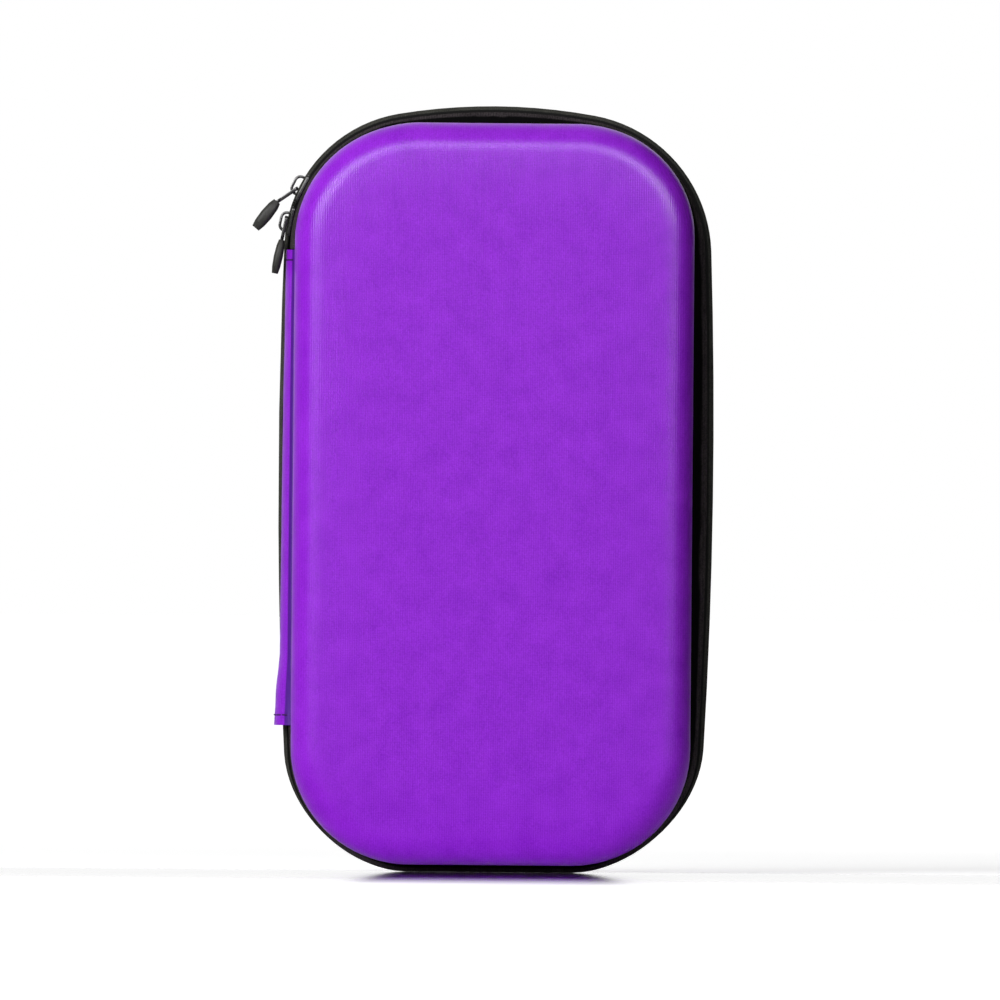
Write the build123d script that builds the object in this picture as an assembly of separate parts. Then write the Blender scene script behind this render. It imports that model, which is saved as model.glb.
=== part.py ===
from build123d import *
import math
import os

# A zip-round hard case: two moulded shells that meet at a zipper ring and fold
# open about a fabric spine. Millimetres, +Z up. The case stands on its short
# bottom end: X runs across the front, Y runs from the lid (-Y) to the base (+Y).
# The origin is in the middle of the bottom end, on the base half's zipper edge.

# --- moulded shells ---
case_width = 140.0
case_height = 263.0
case_depth = 54.0
corner_radius = 42.5        # of the outline, seen from the front
wall_flat = 2.5             # straight wall between the base's rim and the face's roll
shell_wall = 3.4            # foam with its knit cover, moulded together
lining_wall = 0.6
lid_rim = 8.0               # each rim's distance from the parting plane
base_rim = 9.5

# --- zipper ring that stands proud of the walls ---
ring_right_bulge = 7.4      # rear lip above the wall, at the widest point
ring_left_bulge = 5.2
ring_top_bulge = 5.7
ring_bulge_drop = 118.0     # from the case's top down to the ring's widest point
ring_side_arc = 2000.0
ring_top_arc = 200.0
ring_right_corner = 50.0
ring_left_corner = 48.0
ring_right_foot_corner = 46.0
ring_left_foot_corner = 43.0
lip_rise = 2.2              # rear lip above the flat run of the zipper tapes
tape_wall = 0.9
tape_root_depth = 0.8       # the tape starts this far inside the wall's face
zip_middle = -0.9           # Y of the line where the two tapes meet
zip_gap = 1.4
lid_tape_flat = 4.7         # flat run on each side of the zip's middle
base_tape_flat = 6.1
coil_height = 2.0
coil_width = 2.1
piping_lip = 1.1            # where the piping is highest, behind its front edge
piping_shoulder = 0.44      # how far the roll has fallen half way down each side

# --- inside bindings ---
binding_wall = 0.8
binding_width = 2.4
binding_lap = 1.2           # how far the binding laps over the rim's edge
binding_seat = 0.05         # glue line under the binding

# --- spine, the fabric hinge ---
spine_bottom = 51.0
spine_top_drop = 45.3       # from the case's top down to the strip's upper end
spine_wall = 1.2
spine_bulge = 4.4
spine_top_bulge = 3.0       # the upper end is drawn in
spine_end_bulge = 5.6       # the lower end stands out a little more
spine_blend = 16.0          # length over which each end reaches the middle's bulge
spine_crest = 0.4           # how far the strip falls back where it meets the piping
spine_shift = 1.0           # the bow's middle sits this much nearer the lid
spine_air = 0.3             # between the strip's hems and the inner tape
spine_hem = 5.0
spine_hem_wall = 0.9
hinge_lining_wall = 0.8
end_tape_run = 9.0          # closed tape below the spine's lower end

# --- sliders ---
slider_length = 10.4
slider_nose_width = 9.0
slider_tail_width = 7.0
slider_corner = 1.4
slider_shoulder = 1.7       # from the middle to where the plates start to narrow
plate_wall = 1.0
plate_clearance = 0.3       # under the outer plate
chain_clearance = 0.7       # between the coil and the inner plate
flange_wall = 0.6
flange_clearance = 0.7      # from the flange's edge to the tape's inner side
flange_length = 6.2
flange_shift = 0.9          # the flange's middle, from the slider's towards its tail
flange_reach = 9.0          # height of the block that cuts the flange to length
post_wall = 0.8
post_point = 0.2            # the post's blunt rear edge
post_length = 2.6
slider_a_angle = 153.7      # place on the upper left corner of the ring
slider_spacing = 1.5        # between the two noses
bridge_width = 2.6
bridge_wall = 1.0
bridge_height = 3.6
bridge_tail = 4.2           # from the slider's middle towards its tail
bridge_nose = 3.2
bridge_gap = 0.6            # open end of the bridge above the plate
bridge_corner = 2.5

# --- pullers ---
puller_length = 20.0        # from the bar's middle to the grip's end
puller_bar_nose = 0.9       # the bar's place along the slider
link_wall = 1.2
link_slot_length = 5.8
link_slot_width = 3.4
link_arm = 1.2
link_neck_width = 3.4
link_corner = 1.4
grip_length = 12.0
grip_width = 8.0
grip_wall = 3.2
grip_lap = 3.0              # the link's neck reaches this far into the grip
grip_edge = 0.42            # the edge's radius as a share of the thickness
# Along the grip: place from its start, share of the width, share of the thickness.
grip_profile = ((0.0, 0.66, 0.62), (0.18, 0.9, 0.88), (0.5, 1.0, 1.0), (0.8, 0.94, 0.9), (1.0, 0.72, 0.66))
puller_a_lift = 29.0        # degrees above the slider's plate, over its nose
puller_b_lift = 0.0         # level with its slider's plate, over its tail

# --- pocket in the lid ---
pocket_top = 150.0
pocket_margin = 12.0        # from the lining's side wall to the binding
pocket_depth = 3.0
net_wall = 0.8
pocket_binding_width = 6.0
elastic_width = 8.0
elastic_wall = 1.6

body_gap = 0.3              # running clearance between separate bodies

# --- worked out from the sizes above ---
half_width = case_width / 2
half_depth = case_depth / 2
face_radius = half_depth - base_rim - wall_flat
spine_top = case_height - spine_top_drop
ring_bulge_height = case_height - ring_bulge_drop
inner_wall = shell_wall + lining_wall
tape_drop = lip_rise + tape_wall
coil_drop = tape_drop + coil_height
lid_tape_edge = zip_middle - zip_gap / 2
base_tape_edge = zip_middle + zip_gap / 2
lid_slope_start = zip_middle - lid_tape_flat
base_slope_start = zip_middle + base_tape_flat


def upright(y):
    """A drawing plane at depth y: its x is X, its y is Z, and it faces the lid."""
    return Plane(origin=(0, y, 0), x_dir=(1, 0, 0), z_dir=(0, -1, 0))


def polar(centre, radius, angle):
    a = math.radians(angle)
    return centre[0] + radius * math.cos(a), centre[1] + radius * math.sin(a)


def shell_corners():
    """Corner circles of the shells' outline: centre, radius, first and last angle."""
    r = corner_radius
    top = ((half_width - r, case_height - r), r, 0.0, 90.0)
    foot = ((half_width - r, r), r, -90.0, 0.0)
    return {"top": top, "foot": foot}


def ring_corners(bulge, top_radius, foot_radius):
    """Corner circles of the rear lip, tangent to its bowed side and top arcs."""
    side_x = half_width + bulge - ring_side_arc
    top_z = case_height + ring_top_bulge - ring_top_arc
    to_side = ring_side_arc - top_radius
    to_top = ring_top_arc - top_radius
    dx, dz = -side_x, top_z - ring_bulge_height
    span = math.hypot(dx, dz)
    along = (to_side**2 - to_top**2 + span**2) / (2 * span)
    across = math.sqrt(to_side**2 - along**2)
    cx = side_x + (along * dx - across * dz) / span
    cz = ring_bulge_height + (along * dz + across * dx) / span
    side_angle = math.degrees(math.asin((cz - ring_bulge_height) / to_side))
    top_angle = 90 - math.degrees(math.asin(cx / to_top))
    top = ((cx, cz), top_radius, side_angle, top_angle)
    drop = ring_bulge_height - foot_radius
    foot_x = side_x + math.sqrt((ring_side_arc - foot_radius) ** 2 - drop**2)
    foot_angle = -math.degrees(math.asin(drop / (ring_side_arc - foot_radius)))
    foot = ((foot_x, foot_radius), foot_radius, -90.0, foot_angle)
    return {"top": top, "foot": foot, "side": half_width + bulge}


SHELL = shell_corners()
RING_RIGHT = ring_corners(ring_right_bulge, ring_right_corner, ring_right_foot_corner)
RING_LEFT = ring_corners(ring_left_bulge, ring_left_corner, ring_left_foot_corner)
ring_pivot = (-RING_LEFT["top"][0][0], RING_LEFT["top"][0][1])


def half_outline(corners, inset, floor, mirrored):
    """Points of one half of an outline, from the foot up: each arc has three."""
    points = []
    for key in ("foot", "top"):
        centre, radius, first, last = corners[key]
        r = radius - inset
        for angle in (first, (first + last) / 2, last):
            x, z = polar(centre, r, angle)
            if key == "foot":
                z = z - inset + floor
            points.append((-x if mirrored else x, z))
    return points


def outline(right, left, inset, floor, y, crown=None):
    """A closed outline as eight edges, as a face at depth y."""
    r = half_outline(right, inset, floor, False)
    l = half_outline(left, inset, floor, True)
    edges = [
        Line(l[0], r[0]),
        ThreePointArc(r[0], r[1], r[2]),
        side_edge(right, inset, r[2], r[3], 1),
        ThreePointArc(r[3], r[4], r[5]),
        Line(r[5], l[5]) if crown is None else ThreePointArc(r[5], (0, crown - inset), l[5]),
        ThreePointArc(l[5], l[4], l[3]),
        side_edge(left, inset, l[3], l[2], -1),
        ThreePointArc(l[2], l[1], l[0]),
    ]
    return upright(y) * make_face(edges)


def side_edge(corners, inset, first, last, sign):
    if "side" not in corners:
        return Line(first, last)
    middle = (sign * (corners["side"] - inset), ring_bulge_height)
    return ThreePointArc(first, middle, last)


def shell_outline(inset, y):
    return outline(SHELL, SHELL, inset, inset, y)


def ring_outline(drop, floor, y):
    """The zipper ring's outline, a drop below the rear lip, flat on the floor."""
    crown = case_height + ring_top_bulge
    return outline(RING_RIGHT, RING_LEFT, drop, floor, y, crown)


def shell_body(inset, rim, side):
    """A closed moulding from the rim to the face, side -1 for the lid, 1 for the base."""
    depth = half_depth - inset - rim
    body = extrude(shell_outline(inset, side * rim), -side * depth)
    face_edges = body.faces().sort_by(Axis.Y)[-1 if side > 0 else 0].edges()
    return fillet(face_edges, face_radius - inset)


def moulded_shell(rim, side):
    return shell_body(0, rim, side) - shell_body(shell_wall, rim, side)


def lining(rim, side):
    return shell_body(shell_wall, rim, side) - shell_body(inner_wall, rim, side)


def inner_binding(rim, side):
    """Tape folded over the rim's inner edge: a lap on the edge and a band inside."""
    outside = inner_wall + binding_seat
    inside = outside + binding_wall
    lap_y = side * (rim - binding_wall)
    lap = shell_outline(inner_wall - binding_lap, lap_y) - shell_outline(inside, lap_y)
    band = shell_outline(outside, side * rim) - shell_outline(inside, side * rim)
    return extrude(lap, -side * binding_wall) + extrude(band, -side * binding_width)


def lid_tape():
    """Zipper tape on the lid: rises from the rim's face, then runs flat to the zip."""
    root, edge = tape_root_depth, tape_wall
    outer = loft([shell_outline(root, -lid_rim), ring_outline(lip_rise, 0, lid_slope_start)], True)
    outer += extrude(ring_outline(lip_rise, 0, lid_slope_start), lid_slope_start - lid_tape_edge)
    inner = loft(
        [shell_outline(root + edge, -lid_rim), ring_outline(tape_drop, edge, lid_slope_start)], True
    )
    inner += extrude(ring_outline(tape_drop, edge, lid_slope_start), lid_slope_start - lid_tape_edge)
    return outer - inner


def base_tape():
    """Zipper tape on the base: a flat band from the zip to the piping."""
    run = base_slope_start - base_tape_edge
    band = ring_outline(lip_rise, 0, base_slope_start) - ring_outline(
        tape_drop, tape_wall, base_slope_start
    )
    return extrude(band, run)


def piping():
    """Corded piping that rises behind the tape and falls to the base's rim."""
    crest = base_slope_start + piping_lip
    levels = [
        ring_outline(lip_rise, 0, base_slope_start),
        ring_outline(piping_shoulder, 0, base_slope_start + piping_lip / 2),
        ring_outline(0, 0, crest),
        ring_outline(piping_shoulder, 0, crest + piping_lip / 2),
        shell_outline(tape_root_depth, base_rim),
    ]
    core = loft(
        [
            ring_outline(tape_drop, tape_wall, base_slope_start),
            shell_outline(tape_root_depth + tape_wall, base_rim),
        ],
        True,
    )
    return loft(levels, True) - core


def coil(first_edge, width):
    """One half of the zipper's coil, a bead under its tape, from first_edge towards the lid."""
    band = ring_outline(tape_drop, tape_wall, first_edge) - ring_outline(
        coil_drop, tape_wall + coil_height, first_edge
    )
    return extrude(band, width)


def left_span(low, high):
    """A block over the left side of the ring between two heights."""
    reach = 3 * half_width
    inner_edge = -half_width / 3
    middle = Pos(inner_edge - reach / 2, 0, (low + high) / 2)
    return middle * Box(reach, 2 * case_depth, high - low)


# The stretch of the lid's tape between the spine and the parked sliders stays
# closed on a real case, so it is a separate piece that stays with the base.
slide_radius = ring_left_corner - lip_rise
slider_b_angle = slider_a_angle + math.degrees((slider_length + slider_spacing) / slide_radius)
slider_a_tail = slider_a_angle - math.degrees(slider_length / 2 / slide_radius)
plate_top = plate_clearance + plate_wall
end_tape_top = polar(ring_pivot, slide_radius + plate_top + bridge_height, slider_a_tail)[1]
end_tape_low = spine_bottom - end_tape_run


def spine_zone():
    return left_span(spine_bottom - body_gap, spine_top + body_gap)


def split_lid_ring(ring):
    """Cut a lid-side ring into the part that opens and the closed ends by the spine."""
    clear_of_lid = Pos(0, body_gap, 0) * Box(
        3 * case_width, 2 * lid_rim, 3 * case_height
    )
    upper = left_span(spine_top + body_gap, end_tape_top)
    lower = left_span(end_tape_low, spine_bottom - body_gap)
    ends = (ring & upper & clear_of_lid) + (ring & lower & clear_of_lid)
    return ring - left_span(end_tape_low - body_gap, end_tape_top + body_gap), ends


def spine_arc(bulge, inset):
    """Three points of the strip's bow, from the lid's rim to the piping."""
    first_y = -lid_rim + body_gap
    last_y = base_slope_start - body_gap
    crest = -half_width - bulge + inset
    return (
        (-half_width + inset, first_y),
        (crest, (first_y + last_y) / 2 - spine_shift),
        (crest + spine_crest, last_y),
    )


def spine_face(z, bulge, inset, wall):
    a, b, c = spine_arc(bulge, inset)
    d, e, f = spine_arc(bulge, inset + wall)
    edges = [ThreePointArc(a, b, c), Line(c, f), ThreePointArc(f, e, d), Line(d, a)]
    return Pos(0, 0, z) * make_face(edges)


def spine_strip():
    """The knit strip over the hinge, bowed out between its two hemmed ends."""
    levels = (
        (spine_bottom, spine_end_bulge),
        (spine_bottom + spine_hem, spine_end_bulge),
        (spine_bottom + spine_hem + spine_blend, spine_bulge),
        (spine_top - spine_hem - spine_blend, spine_bulge),
        (spine_top - spine_hem, spine_top_bulge),
        (spine_top, spine_top_bulge),
    )
    return loft([spine_face(z, bulge, 0, spine_wall) for z, bulge in levels], True)


def spine_hems():
    """The folded-under ends of the strip, one at each end."""
    hems = []
    for z, bulge in ((spine_bottom, spine_end_bulge), (spine_top - spine_hem, spine_top_bulge)):
        face = spine_face(z, bulge, spine_wall, spine_hem_wall)
        hems.append(extrude(face, spine_hem, dir=(0, 0, 1)))
    return Compound(hems)


def hinge_lining():
    """The woven tape inside the hinge: it bows out behind the strip, rim to rim."""
    first_y = -lid_rim + binding_wall + body_gap
    last_y = base_rim - binding_wall - body_gap
    middle_y = (first_y + last_y) / 2
    rim_x = -half_width + inner_wall
    crest_x = -half_width - spine_top_bulge + spine_wall + spine_hem_wall + spine_air
    outer = ThreePointArc((rim_x, first_y), (crest_x, middle_y), (rim_x, last_y))
    inner = ThreePointArc(
        (rim_x + hinge_lining_wall, last_y),
        (crest_x + hinge_lining_wall, middle_y),
        (rim_x + hinge_lining_wall, first_y),
    )
    ends = [Line(outer @ 1, inner @ 0), Line(inner @ 1, outer @ 0)]
    section = Pos(0, 0, spine_bottom) * make_face([outer, ends[0], inner, ends[1]])
    return extrude(section, spine_top - spine_bottom, dir=(0, 0, 1))


# --- sliders, drawn flat: +X towards the nose, +Z out of the case, Y = 0 on the zip ---
inner_plate_top = -tape_wall - coil_height - chain_clearance
bar_height = plate_top + (bridge_height - bridge_wall) / 2


def plate_outline():
    """A slider plate: broad at the nose, drawn in towards the tail, rounded all round."""
    nose, tail = slider_length / 2, -slider_length / 2
    points = [
        (tail, -slider_tail_width / 2),
        (slider_shoulder, -slider_nose_width / 2),
        (nose, -slider_nose_width / 2),
        (nose, slider_nose_width / 2),
        (slider_shoulder, slider_nose_width / 2),
        (tail, slider_tail_width / 2),
    ]
    shape = make_face(Polyline(*points, close=True))
    return fillet(shape.vertices(), slider_corner)


def slider_body():
    """Two plates joined by the wedge-shaped post, with a flange on the inner plate."""
    outer = Pos(0, 0, plate_clearance) * extrude(plate_outline(), plate_wall)
    inner = Pos(0, 0, inner_plate_top - plate_wall) * extrude(plate_outline(), plate_wall)
    post_x = slider_length / 2 - slider_corner / 2
    post_points = [
        (post_x, -post_wall / 2),
        (post_x, post_wall / 2),
        (post_x - post_length, post_point / 2),
        (post_x - post_length, -post_point / 2),
    ]
    post_foot = make_face(Polyline(*post_points, close=True))
    post = Pos(0, 0, inner_plate_top) * extrude(post_foot, plate_clearance - inner_plate_top)
    flange_rise = -tape_wall - flange_clearance - inner_plate_top
    rim = plate_outline() - offset(plate_outline(), -flange_wall)
    cut = Pos(-flange_shift, 0, 0) * Box(flange_length, 2 * slider_nose_width, flange_reach)
    flange = Pos(0, 0, inner_plate_top) * (extrude(rim, flange_rise) & cut)
    return outer + inner + post + flange


def bridge():
    """The arch over the outer plate: rooted at the nose, its tail end left just open."""
    length = bridge_nose + bridge_tail
    middle = (bridge_nose - bridge_tail) / 2
    hole_length = length - 2 * bridge_wall
    hole_height = bridge_height - bridge_wall
    arch = RectangleRounded(length, 2 * bridge_height, bridge_corner)
    hole = RectangleRounded(hole_length, 2 * hole_height, bridge_corner - bridge_wall)
    above = Pos(0, bridge_height) * Rectangle(length, 2 * bridge_height)
    mouth = Pos(-length / 2, 0) * Rectangle(length, 2 * bridge_gap)
    profile = ((arch - hole) & above) - mouth
    solid = extrude(Plane.XZ * profile, bridge_width / 2, both=True)
    return Pos(middle, 0, plate_top) * solid


def puller_link():
    """The flat link: a slotted eye round the bridge, and a neck that the grip holds.
    Drawn along +X from the bar's middle, lying in the XY plane."""
    eye_length = link_slot_length + 2 * link_arm
    eye_width = link_slot_width + 2 * link_arm
    neck_end = puller_length - grip_length + grip_lap
    eye_start = -link_arm / 2
    eye_middle = Pos(eye_start + eye_length / 2, 0)
    eye = eye_middle * RectangleRounded(eye_length, eye_width, link_corner)
    slot = eye_middle * RectangleRounded(link_slot_length, link_slot_width, link_arm / 2)
    neck_start = eye_start + eye_length - link_arm / 2
    neck = Pos((neck_start + neck_end) / 2, 0) * Rectangle(neck_end - neck_start, link_neck_width)
    flat = eye + neck - slot
    return Pos(0, 0, -link_wall / 2) * extrude(flat, link_wall)


def puller_grip():
    """The moulded grip: a long oval pad with a square-cut end, crowned on both faces."""
    start = puller_length - grip_length
    faces = []
    for place, width_share, wall_share in grip_profile:
        wall = grip_wall * wall_share
        section = RectangleRounded(grip_width * width_share, wall, wall * grip_edge)
        across = Plane(
            origin=(start + grip_length * place, 0, 0), x_dir=(0, 1, 0), z_dir=(1, 0, 0)
        )
        faces.append(across * section)
    body = loft(faces, True)
    pocket = Box(2 * grip_lap, link_neck_width, link_wall)
    return body - Pos(start, 0, 0) * pocket


def on_ring(angle, nose_down):
    """The place of a slider on the upper left corner of the ring."""
    x, z = polar(ring_pivot, ring_left_corner - lip_rise, angle)
    a = math.radians(angle)
    outward = (math.cos(a), 0, math.sin(a))
    nose = (-math.sin(a), 0, math.cos(a)) if nose_down else (math.sin(a), 0, -math.cos(a))
    return Plane(origin=(x, zip_middle, z), x_dir=nose, z_dir=outward)


def puller_place(slider_plane, lift, towards_nose):
    """The puller's own plane, at the bar, turned up by lift degrees."""
    turn = -lift if towards_nose else lift - 180
    return slider_plane * Pos(puller_bar_nose, 0, bar_height) * Rot(0, turn, 0)


# --- lid pocket ---
pocket_inset = inner_wall + pocket_margin
net_y = -half_depth + inner_wall + pocket_depth


def pocket_outline(y):
    """The pocket's outline on the lid's inner face: rounded below, straight on top."""
    reach = 2 * case_height
    keep = upright(y) * Pos(0, pocket_top - reach / 2) * Rectangle(2 * case_width, reach)
    return shell_outline(pocket_inset, y) & keep


def pocket_binding():
    """A padded tape that holds the net's sides and foot to the lining."""
    middle = shell_outline(pocket_inset + pocket_binding_width, net_y)
    return extrude(pocket_outline(net_y) - middle, pocket_depth)


def pocket_net():
    return extrude(pocket_outline(net_y + net_wall), net_wall)


def pocket_elastic():
    """The stretch hem along the pocket's mouth."""
    band = Box(2 * (half_width - pocket_inset), elastic_wall, elastic_width)
    return Pos(0, net_y + net_wall + elastic_wall / 2, pocket_top - elastic_width / 2) * band


def single(shape):
    """One solid or a compound of solids, ready for export."""
    solids = shape.solids()
    return solids[0] if len(solids) == 1 else Compound(solids)


os.makedirs("parts", exist_ok=True)


def save(name, shape):
    export_step(single(shape), "parts/" + name + ".step")


def build():
    save("lid_shell", moulded_shell(lid_rim, -1))
    save("lid_lining", lining(lid_rim, -1))
    save("lid_inner_binding", inner_binding(lid_rim, -1))
    save("base_shell", moulded_shell(base_rim, 1))
    save("base_lining", lining(base_rim, 1))
    save("base_inner_binding", inner_binding(base_rim, 1))

    opening_tape, tape_ends = split_lid_ring(lid_tape())
    opening_coil, coil_ends = split_lid_ring(coil(lid_tape_edge, coil_width))
    save("lid_zipper_tape", opening_tape)
    save("lid_zipper_coil", opening_coil)
    save("hinge_end_tapes", tape_ends)
    save("hinge_end_coils", coil_ends)
    save("base_zipper_tape", base_tape() - spine_zone())
    save("base_zipper_coil", coil(base_tape_edge + coil_width, coil_width) - spine_zone())
    save("base_edge_piping", piping())

    save("spine_strip", spine_strip())
    save("spine_hems", spine_hems())
    save("hinge_lining", hinge_lining())

    save("pocket_net", pocket_net())
    save("pocket_binding", pocket_binding())
    save("pocket_elastic", pocket_elastic())

    for key, angle, nose_down, lift, towards_nose in (
        ("a", slider_a_angle, True, puller_a_lift, True),
        ("b", slider_b_angle, False, puller_b_lift, False),
    ):
        place = on_ring(angle, nose_down)
        save("slider_" + key + "_body", place * slider_body())
        save("slider_" + key + "_bridge", place * bridge())
        hang = puller_place(place, lift, towards_nose)
        save("puller_" + key + "_link", hang * puller_link())
        save("puller_" + key + "_grip", hang * puller_grip())


build()
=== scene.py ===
import math

import bmesh
import bpy
from mathutils import Matrix, Vector


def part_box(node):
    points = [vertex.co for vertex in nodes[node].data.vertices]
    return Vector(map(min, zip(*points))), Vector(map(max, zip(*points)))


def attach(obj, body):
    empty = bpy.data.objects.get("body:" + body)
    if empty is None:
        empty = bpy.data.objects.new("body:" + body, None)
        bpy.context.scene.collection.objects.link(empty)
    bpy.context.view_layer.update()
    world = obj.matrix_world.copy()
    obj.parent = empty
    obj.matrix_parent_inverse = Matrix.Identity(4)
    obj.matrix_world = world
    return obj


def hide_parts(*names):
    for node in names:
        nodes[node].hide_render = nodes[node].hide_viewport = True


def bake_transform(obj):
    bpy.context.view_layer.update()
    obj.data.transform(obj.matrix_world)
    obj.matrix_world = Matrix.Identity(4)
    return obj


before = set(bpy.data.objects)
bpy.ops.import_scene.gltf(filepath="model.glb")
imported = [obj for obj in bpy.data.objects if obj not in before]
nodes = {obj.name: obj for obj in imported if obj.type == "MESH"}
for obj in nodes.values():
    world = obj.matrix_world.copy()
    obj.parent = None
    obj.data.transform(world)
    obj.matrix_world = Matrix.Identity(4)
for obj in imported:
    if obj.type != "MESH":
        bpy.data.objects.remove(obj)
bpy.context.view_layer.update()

# --- sizes in metres ---
MM = 0.001
LEFT_TOP_CORNER = 42.5 * MM     # corner radii of the case seen from the front
RIGHT_TOP_CORNER = 40.0 * MM
FOOT_CORNER = 41.5 * MM
FACE_ROLL = 10.5 * MM           # roll from each face into the walls
SHELL_WALL = 3.4 * MM
LINING_WALL = 0.6 * MM
CROWN_STEPS = ((4, 0.3), (6, 0.24), (8, 0.16), (9, 0.08))   # inset and rise, in mm
FOOT_LIFT = 2.6 * MM            # the shells end this far above the ring's foot
TOP_ARCH = 0.5 * MM             # drop of the shells' top edge at ARCH_REACH from the middle
ARCH_REACH = 30.0 * MM
ARCH_LIMIT = 38.0 * MM
ARCH_START = 200 * MM
CORNER_PULL = 1.5 * MM          # the ring's lower corners are drawn in this far
CORNER_MIDDLE = (25.0 * MM, 47.0 * MM)
LID_SLOPE_START = -5.6 * MM     # where the front tape leaves its flat run
PIPING_CREST = 6.3 * MM
GRIP_A_NECK = (-0.0757, 0, 0.2342)
GRIP_A_SLOPE = math.radians(33)
GRIP_A_DROOP = math.radians(16)
GRIP_A_FATNESS = 1.35
CLOTH_EDGE_ANGLE = math.radians(28)
METAL_EDGE_ANGLE = math.radians(35)
RING_STEPS = 1440
RING_REACH = 300 * MM
CASE_MIDDLE = Vector((0, 0, 134 * MM))
COIL_PITCH = 1.45 * MM
COIL_WIRE = 0.34 * MM
COIL_HEIGHT = 2.0 * MM
COIL_WIDTH = 2.1 * MM
COIL_LEAN = math.radians(14)
SPINE_CUT = 6.0 * MM
SPINE_BOWS = (                  # height and bow, from the photograph
    (51.0 * MM, 5.4 * MM),
    (60.0 * MM, 5.0 * MM),
    (78.0 * MM, 3.7 * MM),
    (130.0 * MM, 3.5 * MM),
    (165.0 * MM, 3.3 * MM),
    (190.0 * MM, 3.0 * MM),
    (217.7 * MM, 2.8 * MM),
)
CAST_BOWS = (
    (51.0 * MM, 5.6 * MM),
    (56.0 * MM, 5.6 * MM),
    (72.0 * MM, 4.4 * MM),
    (196.7 * MM, 4.4 * MM),
    (212.7 * MM, 3.0 * MM),
    (217.7 * MM, 3.0 * MM),
)
INNER_FACE = 0.35               # spine faces turned inwards more than this are lined black
STITCH_INSET = 0.4 * MM
HEM_ROW = 3.6 * MM
STITCH_LENGTH = 2.0 * MM
STITCH_THREAD = 0.26 * MM
STITCH_PITCH = 3.0 * MM
NET_CELL = 4.0 * MM
NET_THREAD = 0.45 * MM
POCKET_CORNER = 12.0 * MM
GATHER_PITCH = 4.5 * MM
FLOOR_Z = 0.0


# --- helpers for modelling as by hand ---
def clear_choice():
    bpy.ops.object.select_all(action="DESELECT")


def make_active(piece):
    clear_choice()
    piece.select_set(True)
    bpy.context.view_layer.objects.active = piece


def start_edit(piece, kind="FACE"):
    """Opens a piece in edit mode, with nothing selected."""
    make_active(piece)
    bpy.ops.object.mode_set(mode="EDIT")
    bpy.ops.mesh.select_mode(type=kind)
    bpy.ops.mesh.select_all(action="DESELECT")


def end_edit():
    bpy.ops.object.mode_set(mode="OBJECT")


def choose(piece, kind, test):
    """Selects the faces, edges or vertices for which the test holds."""
    bpy.ops.mesh.select_mode(type=kind)
    bpy.ops.mesh.select_all(action="DESELECT")
    mesh = bmesh.from_edit_mesh(piece.data)
    items = {"VERT": mesh.verts, "EDGE": mesh.edges, "FACE": mesh.faces}[kind]
    for item in items:
        if test(item):
            item.select_set(True)
    bmesh.update_edit_mesh(piece.data)


def apply_place(piece):
    make_active(piece)
    bpy.ops.object.transform_apply(location=True, rotation=True, scale=True)


def apply_modifiers(piece):
    make_active(piece)
    for modifier in list(piece.modifiers):
        bpy.ops.object.modifier_apply(modifier=modifier.name)


def smooth(piece, degrees=35):
    make_active(piece)
    bpy.ops.object.shade_smooth_by_angle(angle=math.radians(degrees))


def map_cloth(piece):
    """Lays a UV map in metres on each face from its flattest side."""
    start_edit(piece)
    bpy.ops.mesh.select_all(action="SELECT")
    bpy.ops.uv.cube_project(
        cube_size=1.0, correct_aspect=False, clip_to_bounds=False, scale_to_bounds=False
    )
    end_edit()


def block(name, low, high):
    bpy.ops.mesh.primitive_cube_add(size=1, location=(low + high) / 2)
    piece = bpy.context.object
    piece.name = name
    piece.scale = high - low
    apply_place(piece)
    return piece


def merged_copy(node, name):
    """A copy of a CAD node with its loose triangles welded and its flats cleaned."""
    piece = bpy.data.objects.new(name, nodes[node].data.copy())
    bpy.context.scene.collection.objects.link(piece)
    start_edit(piece)
    bpy.ops.mesh.select_all(action="SELECT")
    bpy.ops.mesh.remove_doubles(threshold=0.002 * MM)
    bpy.ops.mesh.customdata_custom_splitnormals_clear()
    bpy.ops.mesh.dissolve_limited(angle_limit=math.radians(0.5))
    end_edit()
    return piece


def mark_painted_shade(piece, start_y, full_y):
    """Marks painted shade on each point by its y: none at start_y, full at full_y; it stands in for the
    shade in folds and grooves.
    """
    painted_shade = piece.data.attributes.new("painted_shade", "FLOAT", "POINT")
    for vertex in piece.data.vertices:
        share = min(max((vertex.co.y - start_y) / (full_y - start_y), 0), 1)
        painted_shade.data[vertex.index].value = share


def lift_foot(piece, start_y, full_y):
    """Raises a piece's foot and arches its top: not at all at start_y, wholly at full_y."""
    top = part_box("lid_shell")[1].z
    for vertex in piece.data.vertices:
        share = min(max((vertex.co.y - start_y) / (full_y - start_y), 0), 1)
        arch = TOP_ARCH * (min(abs(vertex.co.x), ARCH_LIMIT) / ARCH_REACH) ** 2
        near_top = min(max((vertex.co.z - ARCH_START) / (top - ARCH_START), 0), 1)
        vertex.co.z += share * (FOOT_LIFT * max(1 - vertex.co.z / top, 0) - arch * near_top)


def pull_corners(piece):
    """Draws a ring piece in at its two lower corners, most at 45 degrees."""
    for vertex in piece.data.vertices:
        out = abs(vertex.co.x) - CORNER_MIDDLE[0]
        down = CORNER_MIDDLE[1] - vertex.co.z
        if out > 0 and down > 0:
            angle = math.atan2(down, out)
            shift = CORNER_PULL * math.sin(2 * angle) ** 2
            vertex.co.x -= math.copysign(shift * math.cos(angle), vertex.co.x)
            vertex.co.z += shift * math.sin(angle)


def finish_piece(piece, material, body, node_names, angle=35):
    piece.data.materials.clear()
    piece.data.materials.append(material)
    smooth(piece, angle)
    if body:
        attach(piece, body)
    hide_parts(*node_names)
    return piece


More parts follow.
